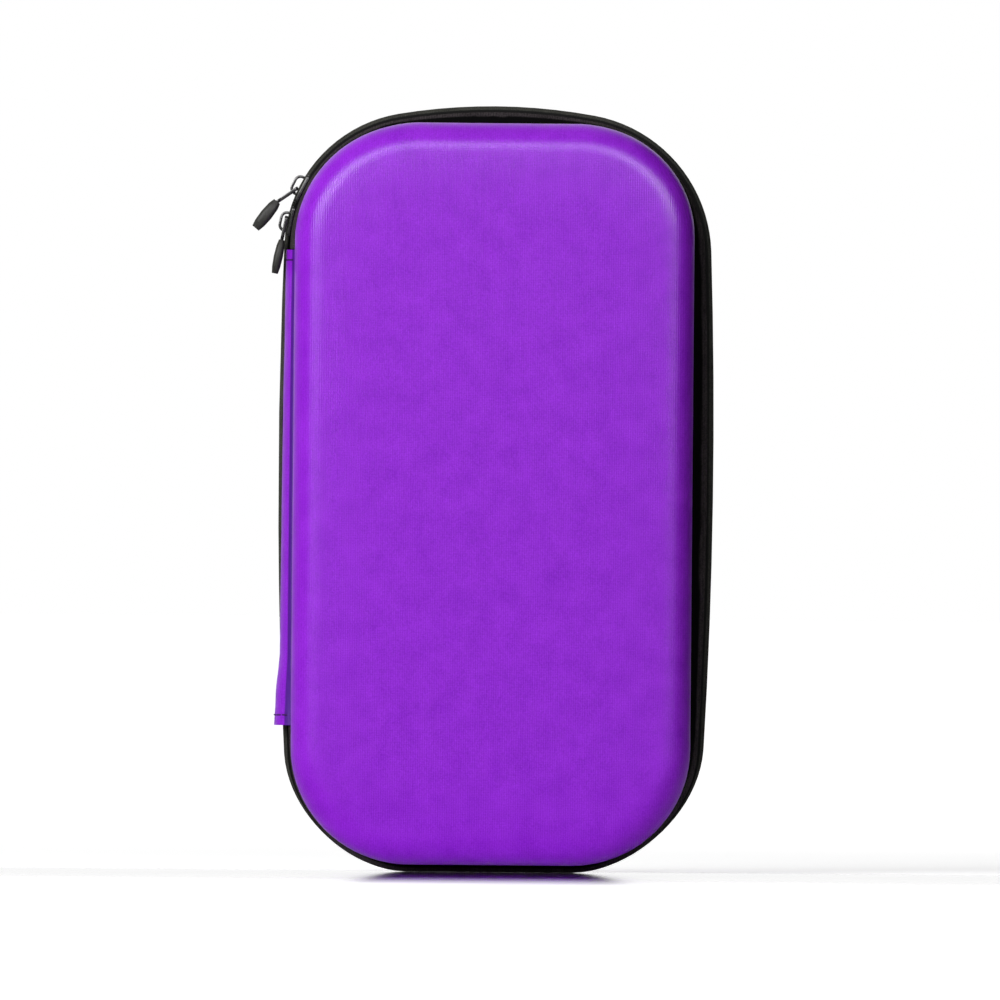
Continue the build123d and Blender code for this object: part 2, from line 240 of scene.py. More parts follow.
# --- materials ---
MOTTLE = 9 * MM
COURSE_WEIGHT = 0.35            # courses show this much as strongly as wales
FIBRES_PER_WALE = 1.6
WEAVE_SHADE = 0.22              # weights of weave and fibres in a cloth's colour
FIBRE_SHADE = 1.7
SHADE_RANGE = (0.9, 2.1)
FIBRE_RELIEF = 0.8
PAINTED_SHADE_RANGE = (0.3, 0.55)      # share of the painted shade mask where the painted darkening sets in
CLOTH_BUMP = 0.12 * MM
HARD_BUMP = 0.05 * MM


def new_material(name):
    material = bpy.data.materials.new(name)
    material.use_nodes = True
    tree = material.node_tree
    return material, tree, tree.nodes["Principled BSDF"]


def add(tree, kind, **values):
    node = tree.nodes.new("ShaderNode" + kind)
    for key, value in values.items():
        if hasattr(node, key):
            setattr(node, key, value)
        else:
            node.inputs[key.replace("_", " ")].default_value = value
    return node


def join(tree, source, target):
    tree.links.new(source, target)


def blend_colour(tree, amount, first, second):
    """A colour mix from first to second by a 0 to 1 socket."""
    ramp = add(tree, "ValToRGB")
    ramp.color_ramp.elements[0].color = first
    ramp.color_ramp.elements[1].color = second
    join(tree, amount, ramp.inputs["Fac"])
    return ramp.outputs["Color"]


def rows(tree, coordinates, direction, pitch, distortion=0.0):
    """Fine parallel rows, one every pitch metres, as a 0 to 1 value."""
    wave = add(tree, "TexWave", wave_type="BANDS", bands_direction=direction, wave_profile="SIN")
    wave.inputs["Scale"].default_value = math.pi / (10 * pitch)
    wave.inputs["Distortion"].default_value = distortion
    wave.inputs["Detail"].default_value = 1.0
    join(tree, coordinates, wave.inputs["Vector"])
    return wave.outputs["Fac"]


def cloth_material(
    name, dark, light, wale, course, relief, roughness, gloss, sheen, tint, painted_shade=None
):
    """Knit or weave: two sets of rows, mottle, fibres, and painted shade where a piece marks it."""
    material, tree, shader = new_material(name)
    place = add(tree, "TexCoord")
    across = rows(tree, place.outputs["UV"], "X", wale, 0.6)
    along = rows(tree, place.outputs["UV"], "Y", course, 2.0)
    weave = add(tree, "Math", operation="MULTIPLY_ADD")
    join(tree, along, weave.inputs[0])
    weave.inputs[1].default_value = COURSE_WEIGHT
    join(tree, across, weave.inputs[2])
    patches = add(tree, "TexNoise")
    patches.inputs["Scale"].default_value = 1 / MOTTLE
    patches.inputs["Detail"].default_value = 4.0
    join(tree, place.outputs["Object"], patches.inputs["Vector"])
    fibres = add(tree, "TexNoise")
    fibres.inputs["Scale"].default_value = FIBRES_PER_WALE / wale
    fibres.inputs["Detail"].default_value = 3.0
    join(tree, place.outputs["Object"], fibres.inputs["Vector"])
    shade = add(tree, "Math", operation="MULTIPLY_ADD")
    join(tree, weave.outputs[0], shade.inputs[0])
    shade.inputs[1].default_value = WEAVE_SHADE
    join(tree, patches.outputs["Fac"], shade.inputs[2])
    speckle = add(tree, "Math", operation="MULTIPLY_ADD")
    join(tree, fibres.outputs["Fac"], speckle.inputs[0])
    speckle.inputs[1].default_value = FIBRE_SHADE
    join(tree, shade.outputs[0], speckle.inputs[2])
    spread = add(tree, "MapRange")
    spread.inputs["From Min"].default_value = SHADE_RANGE[0]
    spread.inputs["From Max"].default_value = SHADE_RANGE[1]
    join(tree, speckle.outputs[0], spread.inputs["Value"])
    colour = blend_colour(tree, spread.outputs[0], dark, light)
    # painted shade: marked points are darkened toward the given colour, in place of the shade in folds
    # and grooves
    if painted_shade:
        edge = add(tree, "Attribute", attribute_name="painted_shade")
        depth = add(tree, "MapRange", interpolation_type="SMOOTHSTEP")
        depth.inputs["From Min"].default_value = PAINTED_SHADE_RANGE[0]
        depth.inputs["From Max"].default_value = PAINTED_SHADE_RANGE[1]
        join(tree, edge.outputs["Fac"], depth.inputs["Value"])
        with_painted_shade = add(tree, "Mix", data_type="RGBA")
        join(tree, depth.outputs[0], with_painted_shade.inputs["Factor"])
        join(tree, colour, with_painted_shade.inputs["A"])
        with_painted_shade.inputs["B"].default_value = painted_shade
        colour = with_painted_shade.outputs["Result"]
    join(tree, colour, shader.inputs["Base Color"])
    height = add(tree, "Math", operation="MULTIPLY_ADD")
    join(tree, fibres.outputs["Fac"], height.inputs[0])
    height.inputs[1].default_value = FIBRE_RELIEF
    join(tree, weave.outputs[0], height.inputs[2])
    bump = add(tree, "Bump")
    bump.inputs["Strength"].default_value = relief
    bump.inputs["Distance"].default_value = CLOTH_BUMP
    join(tree, height.outputs[0], bump.inputs["Height"])
    join(tree, bump.outputs["Normal"], shader.inputs["Normal"])
    shader.inputs["Roughness"].default_value = roughness
    shader.inputs["Specular IOR Level"].default_value = gloss
    shader.inputs["Sheen Weight"].default_value = sheen
    shader.inputs["Sheen Roughness"].default_value = 0.25
    shader.inputs["Sheen Tint"].default_value = tint
    return material


def hard_material(name, dark, light, roughness, gloss, grain, relief, coat=0.0):
    """Paint or moulded plastic: fine grain, and paler handling marks on it."""
    material, tree, shader = new_material(name)
    place = add(tree, "TexCoord")
    marks = add(tree, "TexNoise")
    marks.inputs["Scale"].default_value = 1 / grain
    marks.inputs["Detail"].default_value = 5.0
    join(tree, place.outputs["Object"], marks.inputs["Vector"])
    join(tree, blend_colour(tree, marks.outputs["Fac"], dark, light), shader.inputs["Base Color"])
    fine = add(tree, "TexNoise")
    fine.inputs["Scale"].default_value = 8 / grain
    fine.inputs["Detail"].default_value = 2.0
    join(tree, place.outputs["Object"], fine.inputs["Vector"])
    bump = add(tree, "Bump")
    bump.inputs["Strength"].default_value = relief
    bump.inputs["Distance"].default_value = HARD_BUMP
    join(tree, fine.outputs["Fac"], bump.inputs["Height"])
    join(tree, bump.outputs["Normal"], shader.inputs["Normal"])
    worn = add(tree, "MapRange")
    worn.inputs["To Min"].default_value = roughness - 0.06
    worn.inputs["To Max"].default_value = roughness + 0.1
    join(tree, marks.outputs["Fac"], worn.inputs["Value"])
    join(tree, worn.outputs[0], shader.inputs["Roughness"])
    shader.inputs["Specular IOR Level"].default_value = gloss
    shader.inputs["Coat Weight"].default_value = coat
    shader.inputs["Coat Roughness"].default_value = 0.15
    return material


VIOLET_DARK = (0.185, 0.0003, 0.48, 1)
VIOLET_LIGHT = (0.31, 0.021, 0.70, 1)
PALE_VIOLET = (0.75, 0.55, 1.0, 1)
BLACK = (0.004, 0.004, 0.004, 1)
SOFT_BLACK = (0.014, 0.013, 0.012, 1)
TAPE_DARK = (0.012, 0.0105, 0.011, 1)
TAPE_LIGHT = (0.06, 0.052, 0.054, 1)
PIPING_DARK = (0.016, 0.0165, 0.0145, 1)
PIPING_LIGHT = (0.065, 0.065, 0.056, 1)
# painted shade: dark violet laid on the spine strip beside the lid, where shade falls
PAINTED_SHADE_VIOLET = (0.06, 0.0, 0.22, 1)
LINING_DARK = (0.03, 0.03, 0.033, 1)
LINING_LIGHT = (0.06, 0.06, 0.065, 1)
GREY_BROWN = (0.30, 0.28, 0.26, 1)

violet_knit = cloth_material(
    "violet_knit", VIOLET_DARK, VIOLET_LIGHT, 0.8 * MM, 0.6 * MM, 0.35, 0.31, 0.16, 0.05, PALE_VIOLET
)
spine_knit = cloth_material(
    "spine_knit",
    VIOLET_DARK,
    VIOLET_LIGHT,
    0.8 * MM,
    0.6 * MM,
    0.3,
    0.4,
    0.2,
    0.4,
    PALE_VIOLET,
    PAINTED_SHADE_VIOLET,
)
# BLACK, last in the two calls below, is painted shade: on the tape's slope by the lid and in the piping's
# groove
zip_tape = cloth_material(
    "zipper_tape", TAPE_DARK, TAPE_LIGHT, 0.9 * MM, 0.5 * MM, 0.4, 0.6, 0.0, 0.0, GREY_BROWN, BLACK
)
rolled_cloth = cloth_material(
    "piping_cloth", PIPING_DARK, PIPING_LIGHT, 0.7 * MM, 0.7 * MM, 0.4, 0.55, 0.02, 0.1, GREY_BROWN, BLACK
)
lining_knit = cloth_material(
    "lining_knit", LINING_DARK, LINING_LIGHT, 1.0 * MM, 0.8 * MM, 0.5, 0.85, 0.2, 0.3, GREY_BROWN
)
binding_weave = cloth_material(
    "binding_grosgrain", BLACK, SOFT_BLACK, 6.0 * MM, 0.8 * MM, 0.6, 0.6, 0.2, 0.15, GREY_BROWN
)
coil_nylon = hard_material("coil_nylon", BLACK, SOFT_BLACK, 0.35, 0.2, 4 * MM, 0.2)
black_paint = hard_material("slider_paint", BLACK, SOFT_BLACK, 0.25, 0.3, 3 * MM, 0.25, coat=0.15)
grip_rubber = hard_material(
    "grip_moulding", (0.012, 0.012, 0.010, 1), (0.028, 0.028, 0.024, 1), 0.5, 0.15, 2 * MM, 0.6
)
net_thread = hard_material("net_thread", BLACK, SOFT_BLACK, 0.6, 0.2, 2 * MM, 0.4)
dark_thread = hard_material(
    "dark_thread", (0.03, 0.005, 0.07, 1), (0.06, 0.01, 0.12, 1), 0.6, 0.1, 1 * MM, 0.4
)


# --- moulded shells and their linings ---
def moulding(name, node, side, inset, wall, crowned):
    """A tray with rounded corners: bevelled block, open at the rim, with a wall's thickness."""
    low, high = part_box(node)
    piece = block(name, low, high)
    start_edit(piece)
    roll = FACE_ROLL - inset
    face_y = high.y if side > 0 else low.y
    rim_y = low.y if side > 0 else high.y
    middle_z = (low.z + high.z) / 2
    corners = (
        (LEFT_TOP_CORNER, -1, 1),
        (RIGHT_TOP_CORNER, 1, 1),
        (FOOT_CORNER, -1, -1),
        (FOOT_CORNER, 1, -1),
    )
    for corner, right, end in corners:
        choose(
            piece,
            "EDGE",
            lambda e: abs(e.verts[0].co.y - e.verts[1].co.y) > MM
            and e.verts[0].co.x * right > high.x - inset - MM
            and (e.verts[0].co.z - middle_z) * end > (high.z - low.z) / 2 - MM,
        )
        bpy.ops.mesh.bevel(offset=corner - inset, segments=20, profile=0.5, affect="EDGES")
    choose(piece, "FACE", lambda f: all(abs(v.co.y - rim_y) < 1e-6 for v in f.verts))
    bpy.ops.mesh.delete(type="FACE")
    choose(piece, "EDGE", lambda e: all(abs(v.co.y - face_y) < 1e-6 for v in e.verts))
    bpy.ops.mesh.bevel(offset=roll, segments=10, profile=0.5, affect="EDGES")
    bpy.ops.mesh.select_all(action="SELECT")
    bpy.ops.mesh.remove_doubles(threshold=0.02 * MM)
    if crowned:
        for inset_mm, rise_mm in CROWN_STEPS:
            choose(piece, "FACE", lambda f: f.normal.y * side > 0.999 and f.calc_area() > 2e-3)
            bpy.ops.mesh.inset(thickness=inset_mm * MM, use_even_offset=True)
            bpy.ops.transform.translate(value=(0, side * rise_mm * MM, 0))
    end_edit()
    thicken = piece.modifiers.new("wall", "SOLIDIFY")
    thicken.thickness = wall
    thicken.offset = -1
    thicken.use_even_offset = True
    apply_modifiers(piece)
    map_cloth(piece)
    return piece


for body, side in (("lid", -1), ("base", 1)):
    shell = moulding(body + "_knit_shell", body + "_shell", side, 0.0, SHELL_WALL, True)
    lift_foot(shell, 0, side * MM)
    finish_piece(shell, violet_knit, body, [body + "_shell"], 50)
    inside = moulding(
        body + "_cloth_lining", body + "_lining", side, SHELL_WALL, LINING_WALL, False
    )
    lift_foot(inside, 0, side * MM)
    finish_piece(inside, lining_knit, body, [body + "_lining"], 50)
    edge = merged_copy(body + "_inner_binding", body + "_rim_binding")
    pull_corners(edge)
    lift_foot(edge, 0, side * MM)
    map_cloth(edge)
    finish_piece(edge, binding_weave, body, [body + "_inner_binding"])


# --- zipper ring: tapes and piping ---
def ring_piece(node, name, material, body, rounding, foot=None, painted_shade=None):
    piece = merged_copy(node, name)
    pull_corners(piece)
    if foot:
        lift_foot(piece, *foot)
    bevel = piece.modifiers.new("edge", "BEVEL")
    bevel.width = rounding
    bevel.segments = 2
    bevel.limit_method = "ANGLE"
    bevel.angle_limit = CLOTH_EDGE_ANGLE
    apply_modifiers(piece)
    # painted shade where a range is given
    if painted_shade:
        mark_painted_shade(piece, *painted_shade)
    map_cloth(piece)
    return finish_piece(piece, material, body, [node], 40)


lid_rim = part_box("lid_shell")[1].y
base_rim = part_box("base_shell")[0].y
ring_piece(
    "lid_zipper_tape",
    "lid_tape_cloth",
    zip_tape,
    "lid",
    0.3 * MM,
    (LID_SLOPE_START, lid_rim),
    # painted shade: the tape's slope next to the lid is darkened to black
    (LID_SLOPE_START - 0.1 * MM, LID_SLOPE_START - 1.6 * MM),
)
for node, name in (("base_zipper_tape", "base_tape_cloth"), ("hinge_end_tapes", "end_tape_cloth")):
    ring_piece(node, name, zip_tape, "base", 0.2 * MM)
ring_piece(
    "base_edge_piping",
    "piping_cloth",
    rolled_cloth,
    "base",
    0.3 * MM,
    (PIPING_CREST, base_rim),
    # painted shade: the piping's front edge by the tape is darkened to black, for the groove's shade
    (5.6 * MM, 5.2 * MM),
)


# --- zipper coils ---
def edge_runs(node, depth):
    """Points and outward normals along a node's outer edge, broken where the node is."""
    runs = [[]]
    for step in range(RING_STEPS + 1):
        angle = -math.pi + 2 * math.pi * step / RING_STEPS
        outward = Vector((math.cos(angle), 0, math.sin(angle)))
        start = Vector((0, depth, CASE_MIDDLE.z)) + outward * RING_REACH
        hit, place, normal, face = nodes[node].ray_cast(start, -outward, distance=RING_REACH)
        square = hit and abs(normal.y) < 0.2 and normal.dot(outward) > 0.6
        if square:
            runs[-1].append((place, Vector((normal.x, 0, normal.z)).normalized()))
        elif runs[-1]:
            runs.append([])
    return [run for run in runs if len(run) > 2]


def even_places(run, pitch):
    """Points and normals one pitch apart along a run."""
    places = []
    walked = 0
    due = pitch / 2
    for (here, normal), (there, next_normal) in zip(run, run[1:]):
        stride = (there - here).length
        while stride > 0 and walked + stride >= due:
            share = (due - walked) / stride
            places.append((here.lerp(there, share), normal.lerp(next_normal, share).normalized()))
            due += pitch
        walked += stride
    return places


def joined_copies(model, name, places):
    """One piece made of a copy of the model at each place, the model itself removed."""
    copies = []
    for place in places:
        copy = bpy.data.objects.new(name, model.data.copy())
        bpy.context.scene.collection.objects.link(copy)
        copy.matrix_world = place
        copies.append(copy)
    bpy.data.objects.remove(model)
    make_active(copies[0])
    for copy in copies:
        copy.select_set(True)
    bpy.ops.object.join()
    piece = bpy.context.object
    piece.name = name
    apply_place(piece)
    return piece


def frame_at(place, first, second, third):
    """A place whose local x, y and z run along three directions."""
    turn = Matrix((first, second, third)).transposed().to_4x4()
    return Matrix.Translation(place) @ turn


def coil_turn(head_side):
    """One turn of the monofilament: a ring, squashed, with a swollen head, and leaned."""
    bpy.ops.mesh.primitive_torus_add(
        major_segments=8,
        minor_segments=4,
        major_radius=COIL_HEIGHT / 2 - COIL_WIRE,
        minor_radius=COIL_WIRE,
    )
    turn = bpy.context.object
    start_edit(turn, "VERT")
    bpy.ops.mesh.select_all(action="SELECT")
    bpy.ops.transform.resize(value=(1, COIL_WIDTH / COIL_HEIGHT, 1))
    choose(turn, "VERT", lambda v: v.co.y * head_side > COIL_WIDTH / 4)
    bpy.ops.transform.resize(value=(1.12, 1, 1.3), center_override=(0, 0, 0))
    bpy.ops.mesh.select_all(action="SELECT")
    bpy.ops.transform.rotate(value=COIL_LEAN, orient_axis="X", center_override=(0, 0, 0))
    end_edit()
    return turn


def coil_piece(node, name, body, head_side):
    low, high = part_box(node)
    depth = (low.y + high.y) / 2
    places = []
    for run in edge_runs(node, depth):
        for edge, outward in even_places(run, COIL_PITCH):
            middle = edge - outward * COIL_HEIGHT / 2
            across = Vector((0, 1, 0))
            places.append(frame_at(middle, outward, across, outward.cross(across)))
    piece = joined_copies(coil_turn(head_side), name, places)
    pull_corners(piece)
    return finish_piece(piece, coil_nylon, body, [node], 60)


coil_piece("base_zipper_coil", "base_coil_turns", "base", -1)
coil_piece("lid_zipper_coil", "lid_coil_turns", "lid", 1)
coil_piece("hinge_end_coils", "end_coil_turns", "base", 1)


# --- sliders and pullers ---
def metal_piece(node, name, material, body, rounding):
    piece = merged_copy(node, name)
    bevel = piece.modifiers.new("edge", "BEVEL")
    bevel.width = rounding
    bevel.segments = 2
    bevel.limit_method = "ANGLE"
    bevel.angle_limit = METAL_EDGE_ANGLE
    apply_modifiers(piece)
    return finish_piece(piece, material, body, [node], 40)


def fatten_grip(piece, neck, slope, droop, fatness):
    """Makes a grip thicker across its length and lets it hang steeper from its neck."""
    start_edit(piece)
    bpy.ops.mesh.select_all(action="SELECT")
    bpy.ops.transform.rotate(value=-slope, orient_axis="Y", center_override=neck)
    bpy.ops.transform.resize(value=(1, 1, fatness), center_override=neck)
    bpy.ops.transform.rotate(value=slope + droop, orient_axis="Y", center_override=neck)
    end_edit()


for key in ("a", "b"):
    slider = "slider_" + key
    puller = "puller_" + key
    metal_piece(slider + "_body", slider + "_plates", black_paint, slider, 0.18 * MM)
    metal_piece(slider + "_bridge", slider + "_arch", black_paint, slider, 0.25 * MM)
    metal_piece(puller + "_link", puller + "_wire", black_paint, puller, 0.2 * MM)
    pad = metal_piece(puller + "_grip", puller + "_pad", grip_rubber, puller, 0.3 * MM)
    if key == "a":
        fatten_grip(pad, GRIP_A_NECK, GRIP_A_SLOPE, GRIP_A_DROOP, GRIP_A_FATNESS)


def bow_at(height):
    """How far the strip stands out from the wall at a height."""
    for (low_z, low_bow), (high_z, high_bow) in zip(SPINE_BOWS, SPINE_BOWS[1:]):
        if height <= high_z:
            share = max((height - low_z) / (high_z - low_z), 0)
            return low_bow + (high_bow - low_bow) * share * share * (3 - 2 * share)
    return SPINE_BOWS[-1][1]


def cast_bow(height):
    """The same of the CAD strip, which has plain straight runs between its levels."""
    for (low_z, low_bow), (high_z, high_bow) in zip(CAST_BOWS, CAST_BOWS[1:]):
        if height <= high_z:
            share = max((height - low_z) / (high_z - low_z), 0)
            return low_bow + (high_bow - low_bow) * share
    return CAST_BOWS[-1][1]


def reshape_bow(piece):
    """Cuts a piece into short lengths and gives each the photographed bow."""
    low, high = SPINE_BOWS[0][0], SPINE_BOWS[-1][0]
    cuts = int((high - low) / SPINE_CUT)
    start_edit(piece)
    for cut in range(1, cuts):
        bpy.ops.mesh.select_all(action="SELECT")
        bpy.ops.mesh.bisect(plane_co=(0, 0, low + (high - low) * cut / cuts), plane_no=(0, 0, 1))
    end_edit()
    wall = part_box("lid_shell")[0].x
    for vertex in piece.data.vertices:
        stands_out = wall - vertex.co.x
        if stands_out > 0:
            vertex.co.x = wall - stands_out * bow_at(vertex.co.z) / cast_bow(vertex.co.z)


def hinge_cloth(node, name, material, bowed):
    piece = merged_copy(node, name)
    if bowed:
        reshape_bow(piece)
        # painted shade: the strip's edge next to the lid is darkened
        mark_painted_shade(piece, -5.8 * MM, -7.4 * MM)
    map_cloth(piece)
    finish_piece(piece, material, None, [node], 50)
    if bowed:  # the inner side is lined
        piece.data.materials.append(binding_weave)
        for face in piece.data.polygons:
            face.material_index = 1 if face.normal.x > INNER_FACE else 0
    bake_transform(piece)
    return piece


strip = hinge_cloth("spine_strip", "spine_cloth", spine_knit, True)
hems = hinge_cloth("spine_hems", "spine_hem_cloth", spine_knit, True)
hinge_back = hinge_cloth("hinge_lining", "hinge_lining_cloth", binding_weave, False)


# --- stitching on the spine ---
def stitch_model():
    """A short fat thread between two needle holes, its ends turned down into the cloth."""
    bpy.ops.mesh.primitive_cylinder_add(vertices=6, radius=STITCH_THREAD, depth=STITCH_LENGTH)
    stitch = bpy.context.object
    start_edit(stitch)
    for sign in (-1, 1):
        choose(stitch, "FACE", lambda f: f.normal.z * sign > 0.9)
        bpy.ops.mesh.inset(thickness=STITCH_THREAD * 0.3)
        bpy.ops.transform.translate(value=(-STITCH_THREAD * 0.8, 0, sign * STITCH_THREAD * 0.5))
    end_edit()
    return stitch


def row_on_strip(first, last):
    """Places for stitches on the strip's outer side between two (y, z) points."""
    steps = 60
    run = []
    for step in range(steps + 1):
        spot = first.lerp(last, step / steps)
        start = Vector((-0.1, spot.x, spot.y))
        hit, place, normal, face = strip.ray_cast(start, Vector((1, 0, 0)), distance=0.04)
        if hit:
            run.append((place, normal))
    places = []
    spaced = even_places(run, STITCH_PITCH)
    for index, (place, normal) in enumerate(spaced):
        ahead = spaced[min(index + 1, len(spaced) - 1)][0] - spaced[max(index - 1, 0)][0]
        along = (ahead - normal * ahead.dot(normal)).normalized()
        sunk = place + normal * STITCH_THREAD * 0.35
        places.append(frame_at(sunk, normal, along.cross(normal), along))
    return places


strip_low, strip_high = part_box("spine_strip")
near_lid = strip_low.y + STITCH_INSET
near_base = strip_high.y - STITCH_INSET
stitch_places = []
for row in (strip_low.z + HEM_ROW, strip_high.z - HEM_ROW):
    stitch_places += row_on_strip(Vector((near_lid, row)), Vector((near_base, row)))
stitching = joined_copies(stitch_model(), "spine_stitches", stitch_places)
finish_piece(stitching, dark_thread, None, [], 60)
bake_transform(stitching)


# --- net pocket in the lid ---
def pocket_net_piece():
    """Knotted net cut from a diamond grid, stretched flat between binding and elastic."""
    low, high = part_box("pocket_net")
    middle = (low + high) / 2
    reach = (high.z - low.z) * 1.5
    cells = int(reach / NET_CELL)
    bpy.ops.mesh.primitive_grid_add(
        x_subdivisions=cells, y_subdivisions=cells, size=cells * NET_CELL, location=(0, 0, 0)
    )
    net = bpy.context.object
    net.name = "pocket_mesh"
    net.rotation_euler = (math.radians(90), math.radians(45), 0)
    net.location = middle
    apply_place(net)
    start_edit(net)
    chamfer = POCKET_CORNER * 0.6
    cuts = [
        ((low.x, 0, 0), (-1, 0, 0)),
        ((high.x, 0, 0), (1, 0, 0)),
        ((0, 0, low.z), (0, 0, -1)),
        ((0, 0, high.z), (0, 0, 1)),
        ((low.x + chamfer, 0, low.z), (-1, 0, -1)),
        ((high.x - chamfer, 0, low.z), (1, 0, -1)),
    ]
    for place, way in cuts:
        bpy.ops.mesh.select_all(action="SELECT")
        bpy.ops.mesh.bisect(plane_co=place, plane_no=way, clear_outer=True, clear_inner=False)
    end_edit()
    thread = net.modifiers.new("thread", "WIREFRAME")
    thread.thickness = NET_THREAD
    thread.use_even_offset = False
    apply_modifiers(net)
    return finish_piece(net, net_thread, "lid", ["pocket_net"], 60)


def elastic_piece():
    """Ribbed elastic, drawn in to small even gathers along the pocket's mouth."""
    low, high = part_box("pocket_elastic")
    band = block("pocket_elastic_band", low, high)
    start_edit(band, "EDGE")
    gathers = int((high.x - low.x) / GATHER_PITCH)
    choose(band, "EDGE", lambda e: abs(e.verts[0].co.x - e.verts[1].co.x) > MM)
    bpy.ops.mesh.subdivide(number_cuts=2 * gathers - 1)
    choose(band, "EDGE", lambda e: abs(e.verts[0].co.z - e.verts[1].co.z) > MM)
    bpy.ops.mesh.subdivide(number_cuts=4)
    step = (high.x - low.x) / (2 * gathers)
    choose(band, "VERT", lambda v: round((v.co.x - low.x) / step) % 2 == 1)
    bpy.ops.transform.translate(value=(0, 0.35 * MM, 0))
    choose(band, "VERT", lambda v: round((v.co.z - low.z) / (high.z - low.z) * 5) % 2 == 1)
    bpy.ops.transform.translate(value=(0, 0.25 * MM, 0))
    end_edit()
    soft = band.modifiers.new("soft", "SUBSURF")
    soft.levels = soft.render_levels = 1
    apply_modifiers(band)
    map_cloth(band)
    return finish_piece(band, binding_weave, "lid", ["pocket_elastic"], 60)


net = pocket_net_piece()
elastic_piece()
ring_piece("pocket_binding", "pocket_binding_tape", binding_weave, "lid", 0.9 * MM)


# --- floor, light and camera ---
def floor_material():
    """White board, glossy just before the case and matt elsewhere, that keeps its shadow."""
    material, tree, shader = new_material("white_board")
    shader.inputs["Base Color"].default_value = (0.9, 0.9, 0.9, 1)
    shader.inputs["Roughness"].default_value = 0.9
    shader.inputs["Specular IOR Level"].default_value = 0.0
    place = add(tree, "TexCoord")
    apart = add(tree, "SeparateXYZ")
    join(tree, place.outputs["Object"], apart.inputs[0])
    near = add(tree, "MapRange", interpolation_type="SMOOTHSTEP")
    near.inputs["From Min"].default_value = FRONT_Y - GLOSS_END
    near.inputs["From Max"].default_value = FRONT_Y - GLOSS_START
    join(tree, apart.outputs["Y"], near.inputs["Value"])
    behind = add(tree, "MapRange", interpolation_type="SMOOTHSTEP")
    behind.inputs["From Min"].default_value = BEHIND_RANGE[0]
    behind.inputs["From Max"].default_value = BEHIND_RANGE[1]
    behind.inputs["To Min"].default_value = 1.0
    behind.inputs["To Max"].default_value = BACK_GLOSS
    join(tree, apart.outputs["Y"], behind.inputs["Value"])
    glossy_part = add(tree, "Math", operation="MULTIPLY")
    join(tree, near.outputs[0], glossy_part.inputs[0])
    join(tree, behind.outputs[0], glossy_part.inputs[1])
    gloss = add(tree, "BsdfGlossy")
    gloss.inputs["Roughness"].default_value = BOARD_ROUGHNESS
    gloss.inputs["Color"].default_value = (1, 1, 1, 1)
    seen = add(tree, "LightPath")
    slant = add(tree, "LayerWeight")
    grazing = add(tree, "MapRange", interpolation_type="SMOOTHSTEP")
    grazing.inputs["From Min"].default_value = GRAZING_RANGE[0]
    grazing.inputs["From Max"].default_value = GRAZING_RANGE[1]
    join(tree, slant.outputs["Facing"], grazing.inputs["Value"])
    low_camera = add(tree, "Math", operation="MULTIPLY")
    join(tree, grazing.outputs[0], low_camera.inputs[0])
    join(tree, seen.outputs["Is Camera Ray"], low_camera.inputs[1])
    mirror = add(tree, "Math", operation="MULTIPLY")
    join(tree, glossy_part.outputs[0], mirror.inputs[0])
    join(tree, low_camera.outputs[0], mirror.inputs[1])
    lift = add(tree, "Emission")
    lift.inputs["Color"].default_value = (1, 1, 1, 1)
    apart_from_case = add(tree, "VectorMath", operation="LENGTH")
    join(tree, place.outputs["Object"], apart_from_case.inputs[0])
    level = add(tree, "MapRange", interpolation_type="SMOOTHSTEP")
    level.inputs["From Min"].default_value = LIFT_RANGE[0]
    level.inputs["From Max"].default_value = LIFT_RANGE[1]
    level.inputs["To Min"].default_value = FLOOR_LIFT
    level.inputs["To Max"].default_value = 1.0
    join(tree, apart_from_case.outputs["Value"], level.inputs["Value"])
    lifted = add(tree, "Math", operation="MULTIPLY")
    join(tree, seen.outputs["Is Camera Ray"], lifted.inputs[0])
    join(tree, level.outputs[0], lifted.inputs[1])
    join(tree, lifted.outputs[0], lift.inputs["Strength"])
    board = add(tree, "AddShader")
    join(tree, shader.outputs[0], board.inputs[0])
    join(tree, lift.outputs[0], board.inputs[1])
    mixed = add(tree, "MixShader")
    join(tree, mirror.outputs[0], mixed.inputs["Fac"])
    join(tree, board.outputs[0], mixed.inputs[1])
    join(tree, gloss.outputs[0], mixed.inputs[2])
    join(tree, mixed.outputs[0], tree.nodes["Material Output"].inputs["Surface"])
    return material


FRONT_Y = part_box("lid_shell")[0].y
GLOSS_START = 150 * MM
GLOSS_END = 560 * MM
FLOOR_LIFT = 0.62
BACK_GLOSS = 0.0
BOARD_ROUGHNESS = 0.06
GRAZING_RANGE = (0.9, 0.97)     # the board mirrors only when seen from low down
LIFT_RANGE = (0.3, 2.0)         # the board turns to plain white between these distances
BEHIND_RANGE = (0.0, 0.1)
STUDIO_FILL = 0.08

bpy.ops.mesh.primitive_plane_add(size=60, location=(0, 0, FLOOR_Z))
floor = bpy.context.object
floor.name = "floor"
floor.data.materials.append(floor_material())


def studio_world():
    """Even white surround: full white where it is seen or mirrored, a low fill on the case."""
    world = bpy.data.worlds.new("studio")
    bpy.context.scene.world = world
    world.use_nodes = True
    tree = world.node_tree
    seen = add(tree, "LightPath")
    either = add(tree, "Math", operation="MAXIMUM")
    join(tree, seen.outputs["Is Camera Ray"], either.inputs[0])
    join(tree, seen.outputs["Is Transmission Ray"], either.inputs[1])
    mirrored = add(tree, "Math", operation="MAXIMUM")
    join(tree, either.outputs[0], mirrored.inputs[0])
    join(tree, seen.outputs["Is Glossy Ray"], mirrored.inputs[1])
    level = add(tree, "MapRange")
    level.inputs["To Min"].default_value = STUDIO_FILL
    level.inputs["To Max"].default_value = 1.0
    join(tree, mirrored.outputs[0], level.inputs["Value"])
    surround = tree.nodes["Background"]
    surround.inputs["Color"].default_value = (1, 1, 1, 1)
    join(tree, level.outputs[0], surround.inputs["Strength"])


studio_world()


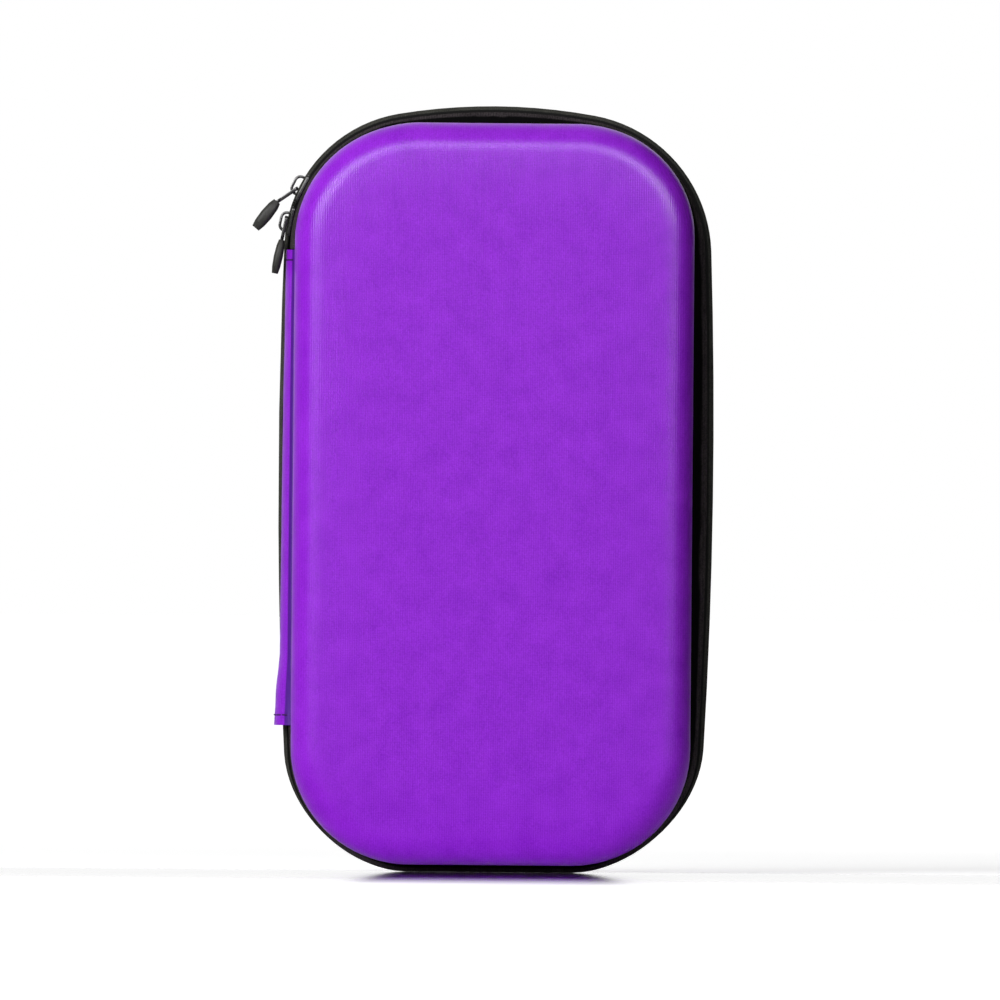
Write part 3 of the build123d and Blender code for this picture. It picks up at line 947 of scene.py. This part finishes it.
def lamp(name, place, along, size, power, sheen_only):
    """A soft box facing the case, its long side along a direction: it lights or it glints."""
    light = bpy.data.lights.new(name, "AREA")
    light.shape = "RECTANGLE"
    light.size, light.size_y = size
    light.energy = power
    holder = bpy.data.objects.new(name, light)
    bpy.context.scene.collection.objects.link(holder)
    back = (Vector(place) - CASE_MIDDLE).normalized()
    across = back.cross(Vector(along)).normalized()
    holder.matrix_world = frame_at(Vector(place), across.cross(back), across, back)
    holder.visible_glossy = sheen_only
    holder.visible_diffuse = not sheen_only


lamp("key", (-1.0, -1.6, 0.8), (1, 0, 0), (1.1, 1.1), 35, False)
lamp("overhead", (-0.2, -0.25, 1.5), (1, 0, 0), (0.8, 0.3), 5, False)
lamp("front_strip", (0, -1.2, 0.94), (1, 0, 0), (1.5, 0.45), 28, True)
lamp("left_strip", (-0.82, -1.15, 0.66), (-0.35, 0, -1), (0.55, 0.45), 32, True)
lamp("right_strip", (0.82, -1.15, 0.66), (0.35, 0, -1), (0.55, 0.45), 28, True)

flag_low = Vector((0.7, -1.0, 0.0))
flag = block("dark_flag", flag_low, flag_low + Vector((0.02, 2.4, 1.4)))
flag_material, flag_tree, flag_shader = new_material("flag_cloth")
flag_shader.inputs["Base Color"].default_value = (0.01, 0.01, 0.01, 1)
flag_shader.inputs["Roughness"].default_value = 0.9
flag.data.materials.append(flag_material)
flag.visible_camera = False
flag.visible_diffuse = False
flag.visible_shadow = False

PIXELS_PER_MM = 2.857
PHOTO_SIDE = 1000
MIDLINE_PIXEL = 492.5
FLOOR_PIXEL = 873
CAMERA_AWAY = 14.0
CAMERA_ROLL = math.radians(-0.49)
SENSOR = 36
frame_width = PHOTO_SIDE / PIXELS_PER_MM * MM

camera_data = bpy.data.cameras.new("camera")
camera_data.sensor_width = SENSOR
camera_data.lens = SENSOR * CAMERA_AWAY / frame_width
camera = bpy.data.objects.new("camera", camera_data)
bpy.context.scene.collection.objects.link(camera)
camera.location = (
    (PHOTO_SIDE / 2 - MIDLINE_PIXEL) / PIXELS_PER_MM * MM,
    FRONT_Y - CAMERA_AWAY,
    (FLOOR_PIXEL - PHOTO_SIDE / 2) / PIXELS_PER_MM * MM,
)
camera.rotation_euler = (math.radians(90), CAMERA_ROLL, 0)
camera_data.clip_end = 50
bpy.context.scene.camera = camera
bpy.context.scene.view_settings.view_transform = "Standard"
